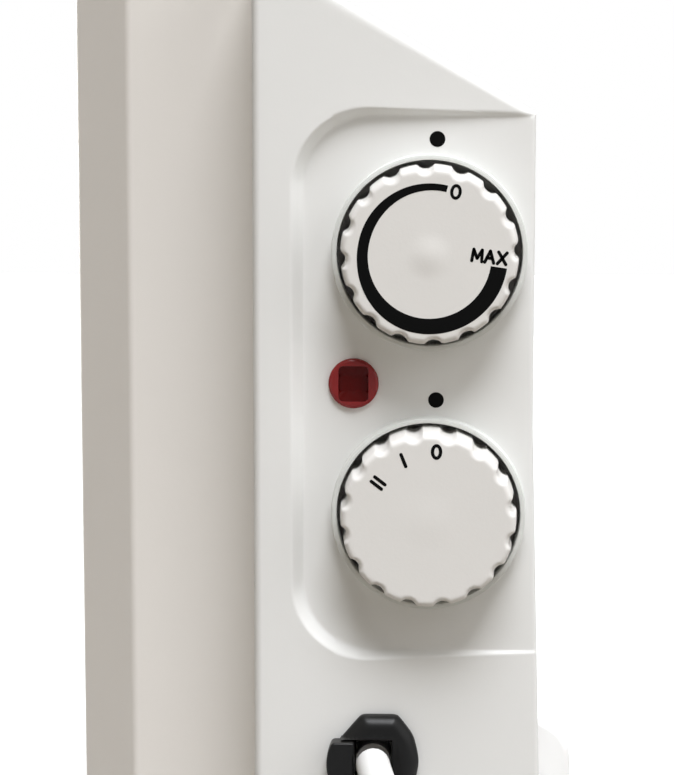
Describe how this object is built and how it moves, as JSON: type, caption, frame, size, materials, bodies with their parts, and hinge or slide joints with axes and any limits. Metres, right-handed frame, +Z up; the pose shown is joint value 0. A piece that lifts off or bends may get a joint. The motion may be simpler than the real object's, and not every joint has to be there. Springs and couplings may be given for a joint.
{
  "type": "convector heater",
  "caption": "Low panel convector heater on feet: steel case with louvred outlet and sloping roof, moulded end caps, thermostat and selector knobs, neon lamp and coiled mains cord.",
  "frame": {"origin": "on the floor, under the middle of the heater without its cord", "axes": "+X along the heater towards the control end, -Y towards the room, +Y towards the wall, +Z up"},
  "size_m": [0.7876, 0.231, 0.43],
  "materials": {
    "cover_paint": "satin off-white powder coat",
    "grille_paint": "satin dark grey powder coat",
    "zinc_steel": "galvanised sheet",
    "bright_aluminium": "bright rolled sheet",
    "cap_plastic": "white, fine satin mould finish",
    "foot_plastic": "white, satin",
    "pad_rubber": "matt black",
    "screw_steel": "zinc plated",
    "phenolic": "dark moulded resin",
    "shaft_steel": "turned steel",
    "tab_brass": "stamped brass",
    "knob_plastic": "pale grey, satin, with printed black dial marks",
    "lens_red": "clear red, glossy",
    "lamp_glass": "clear glass",
    "grip_nylon": "black, satin",
    "block_nylon": "natural, matt",
    "fin_aluminium": "extruded",
    "rod_steel": "drawn tube",
    "bush_ceramic": "unglazed",
    "cord_pvc": "white, satin sheath",
    "tie_black": "black, matt",
    "plug_plastic": "white, satin",
    "pin_nickel": "nickel plated",
    "lead_brown": "brown insulation",
    "lead_blue": "blue insulation",
    "lead_green": "green and yellow insulation",
    "lead_grey": "pale grey glass-fibre sleeving"
  },
  "bodies": {
    "heater": {"back_panel": "cover_paint", "bottom_grille": "cover_paint", "cap_screws": "screw_steel", "carrier_screws": "screw_steel", "control_carrier": "zinc_steel", "cord_coil": "cord_pvc", "cord_cores": "lead_brown", "cord_grip_body": "grip_nylon", "cord_grip_wedge": "grip_nylon", "cord_inlet": "cord_pvc", "cord_tie": "tie_black", "earth_lead": "lead_green", "foot_screws": "screw_steel", "front_cover": "cover_paint", "heat_shield": "zinc_steel", "indicator_lens": "lens_red", "jumper_lead": "lead_grey", "left_element_bracket": "zinc_steel", "left_end_cap": "cap_plastic", "left_foot": "foot_plastic", "left_front_pad": "pad_rubber", "left_rear_pad": "pad_rubber", "left_side_plate": "zinc_steel", "live_lead": "lead_brown", "lower_element_fins": "fin_aluminium", "lower_element_lead": "lead_grey", "lower_element_rod": "rod_steel", "lower_left_bush": "bush_ceramic", "lower_right_bush": "bush_ceramic", "mains_cord": "cord_pvc", "neon_lamp": "lamp_glass", "neutral_lead": "lead_blue", "outlet_grille": "grille_paint", "plug_body": "plug_plastic", "plug_pins": "pin_nickel", "reflector": "bright_aluminium", "right_element_bracket": "zinc_steel", "right_end_cap": "cap_plastic", "right_foot": "foot_plastic", "right_front_pad": "pad_rubber", "right_rear_pad": "pad_rubber", "right_side_plate": "zinc_steel", "selector_body": "phenolic", "selector_tabs": "tab_brass", "terminal_block": "block_nylon", "thermal_cutout": "phenolic", "thermostat_body": "phenolic", "thermostat_tabs": "tab_brass", "upper_element_fins": "fin_aluminium", "upper_element_lead": "lead_grey", "upper_element_rod": "rod_steel", "upper_left_bush": "bush_ceramic", "upper_right_bush": "bush_ceramic"},
    "thermostat": {"thermostat_knob": "knob_plastic", "thermostat_shaft": "shaft_steel"},
    "selector": {"selector_knob": "knob_plastic", "selector_shaft": "shaft_steel"}
  },
  "joints": [
    {"name": "thermostat_turn", "type": "hinge", "parent": "heater", "child": "thermostat", "pos_m": [0.29575, 0.0274, 0.361], "axis": [-1, 0, 0], "range_deg": [-19, 264]},
    {"name": "selector_turn", "type": "hinge", "parent": "heater", "child": "selector", "pos_m": [0.29575, 0.0274, 0.3008], "axis": [-1, 0, 0], "range_deg": [0, 60]}
  ]
}
